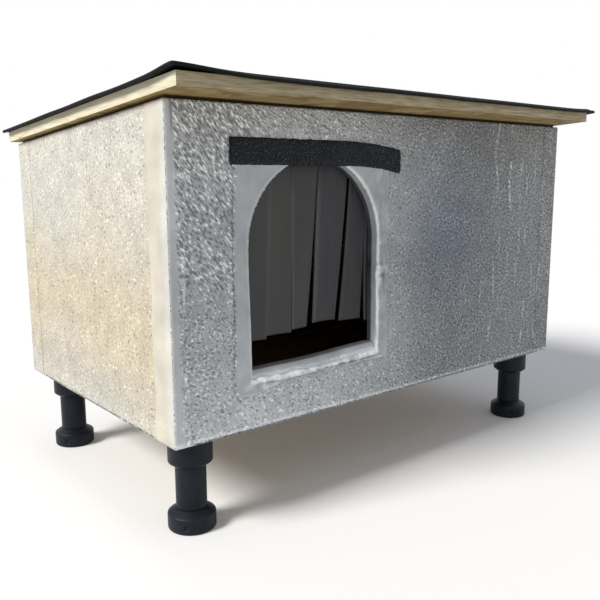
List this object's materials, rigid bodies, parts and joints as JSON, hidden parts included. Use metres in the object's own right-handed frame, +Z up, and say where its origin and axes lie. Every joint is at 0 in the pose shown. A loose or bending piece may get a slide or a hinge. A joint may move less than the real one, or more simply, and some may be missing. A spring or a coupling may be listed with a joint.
{
  "type": "cat house",
  "caption": "Insulated outdoor cat house: foil-faced box on adjustable legs, with an arched doorway, a strip curtain and a hinged, sloping roof lid.",
  "frame": {"origin": "middle of the bounding box's footprint, at the level the feet stand on", "axes": "+X along the front to the viewer's right, +Y from the doorway to the rear, +Z up"},
  "size_m": [0.644, 0.436, 0.4383],
  "materials": {
    "osb": "oriented strand board, sawn and untreated",
    "batten_wood": "planed softwood",
    "cladding_foil": "stucco-embossed aluminium foil on foam, satin",
    "foil_tape": "smooth self-adhesive aluminium tape, creased",
    "roofing_felt": "bitumen felt with fine black granules, matte",
    "roof_membrane": "black rubber roofing membrane, matte",
    "curtain_sheet": "dark grey flexible sheet, satin",
    "seal_foam": "closed-cell foam strip, matte",
    "hinge_steel": "zinc-plated steel, satin",
    "screw_steel": "zinc-plated steel, satin",
    "leg_plastic": "moulded black plastic, satin"
  },
  "bodies": {
    "house": {"floor_panel": "osb", "front_panel": "osb", "rear_panel": "osb", "left_panel": "osb", "right_panel": "osb", "corner_batten_front_left": "batten_wood", "corner_batten_front_right": "batten_wood", "corner_batten_rear_left": "batten_wood", "corner_batten_rear_right": "batten_wood", "curtain_lath": "batten_wood", "front_cladding": "cladding_foil", "rear_cladding": "cladding_foil", "left_cladding": "cladding_foil", "right_cladding": "cladding_foil", "corner_tape_front_left": "foil_tape", "corner_tape_front_right": "foil_tape", "corner_tape_rear_left": "foil_tape", "corner_tape_rear_right": "foil_tape", "base_edge_tape": "foil_tape", "door_tape": "foil_tape", "drip_strip": "roofing_felt", "curtain_header": "curtain_sheet", "lid_seal": "seal_foam", "hinge_wall_leaf_left": "hinge_steel", "hinge_pin_left": "hinge_steel", "hinge_wall_leaf_right": "hinge_steel", "hinge_pin_right": "hinge_steel", "panel_screws": "screw_steel", "lath_screws": "screw_steel", "hinge_wall_screws": "screw_steel", "socket_screws": "screw_steel", "leg_socket_front_left": "leg_plastic", "leg_column_front_left": "leg_plastic", "leg_socket_front_right": "leg_plastic", "leg_column_front_right": "leg_plastic", "leg_socket_rear_left": "leg_plastic", "leg_column_rear_left": "leg_plastic", "leg_socket_rear_right": "leg_plastic", "leg_column_rear_right": "leg_plastic"},
    "lid": {"roof_board": "osb", "roof_membrane": "roof_membrane", "hinge_lid_leaf_left": "hinge_steel", "hinge_lid_leaf_right": "hinge_steel", "hinge_lid_screws": "screw_steel"},
    "strip_1": {"curtain_strip_1": "curtain_sheet"},
    "strip_2": {"curtain_strip_2": "curtain_sheet"},
    "strip_3": {"curtain_strip_3": "curtain_sheet"},
    "strip_4": {"curtain_strip_4": "curtain_sheet"},
    "strip_5": {"curtain_strip_5": "curtain_sheet"},
    "strip_6": {"curtain_strip_6": "curtain_sheet"},
    "foot_front_left": {"leg_foot_front_left": "leg_plastic"},
    "foot_front_right": {"leg_foot_front_right": "leg_plastic"},
    "foot_rear_left": {"leg_foot_rear_left": "leg_plastic"},
    "foot_rear_right": {"leg_foot_rear_right": "leg_plastic"}
  },
  "joints": [
    {"name": "lid_hinge", "type": "hinge", "parent": "house", "child": "lid", "pos_m": [0, 0.20669, 0.39276], "axis": [-1, 0, 0], "range_deg": [0, 110]},
    {"name": "strip_1_swing", "type": "hinge", "parent": "house", "child": "strip_1", "pos_m": [-0.1335, -0.15846, 0.376], "axis": [1, 0, 0], "range_deg": [0, 70]},
    {"name": "strip_2_swing", "type": "hinge", "parent": "house", "child": "strip_2", "pos_m": [-0.1335, -0.15846, 0.34395], "axis": [1, 0, 0], "range_deg": [-70, 70]},
    {"name": "strip_3_swing", "type": "hinge", "parent": "house", "child": "strip_3", "pos_m": [-0.1335, -0.15846, 0.34395], "axis": [1, 0, 0], "range_deg": [-70, 70]},
    {"name": "strip_4_swing", "type": "hinge", "parent": "house", "child": "strip_4", "pos_m": [-0.1335, -0.15846, 0.34395], "axis": [1, 0, 0], "range_deg": [-70, 70]},
    {"name": "strip_5_swing", "type": "hinge", "parent": "house", "child": "strip_5", "pos_m": [-0.1335, -0.15846, 0.376], "axis": [1, 0, 0], "range_deg": [0, 70]},
    {"name": "strip_6_swing", "type": "hinge", "parent": "house", "child": "strip_6", "pos_m": [-0.1335, -0.15846, 0.376], "axis": [1, 0, 0], "range_deg": [0, 70]},
    {"name": "foot_front_left_level", "type": "slide", "parent": "house", "child": "foot_front_left", "axis": [0, 0, -1], "range_m": [0, 0.02]},
    {"name": "foot_front_right_level", "type": "slide", "parent": "house", "child": "foot_front_right", "axis": [0, 0, -1], "range_m": [0, 0.02]},
    {"name": "foot_rear_left_level", "type": "slide", "parent": "house", "child": "foot_rear_left", "axis": [0, 0, -1], "range_m": [0, 0.02]},
    {"name": "foot_rear_right_level", "type": "slide", "parent": "house", "child": "foot_rear_right", "axis": [0, 0, -1], "range_m": [0, 0.02]}
  ]
}
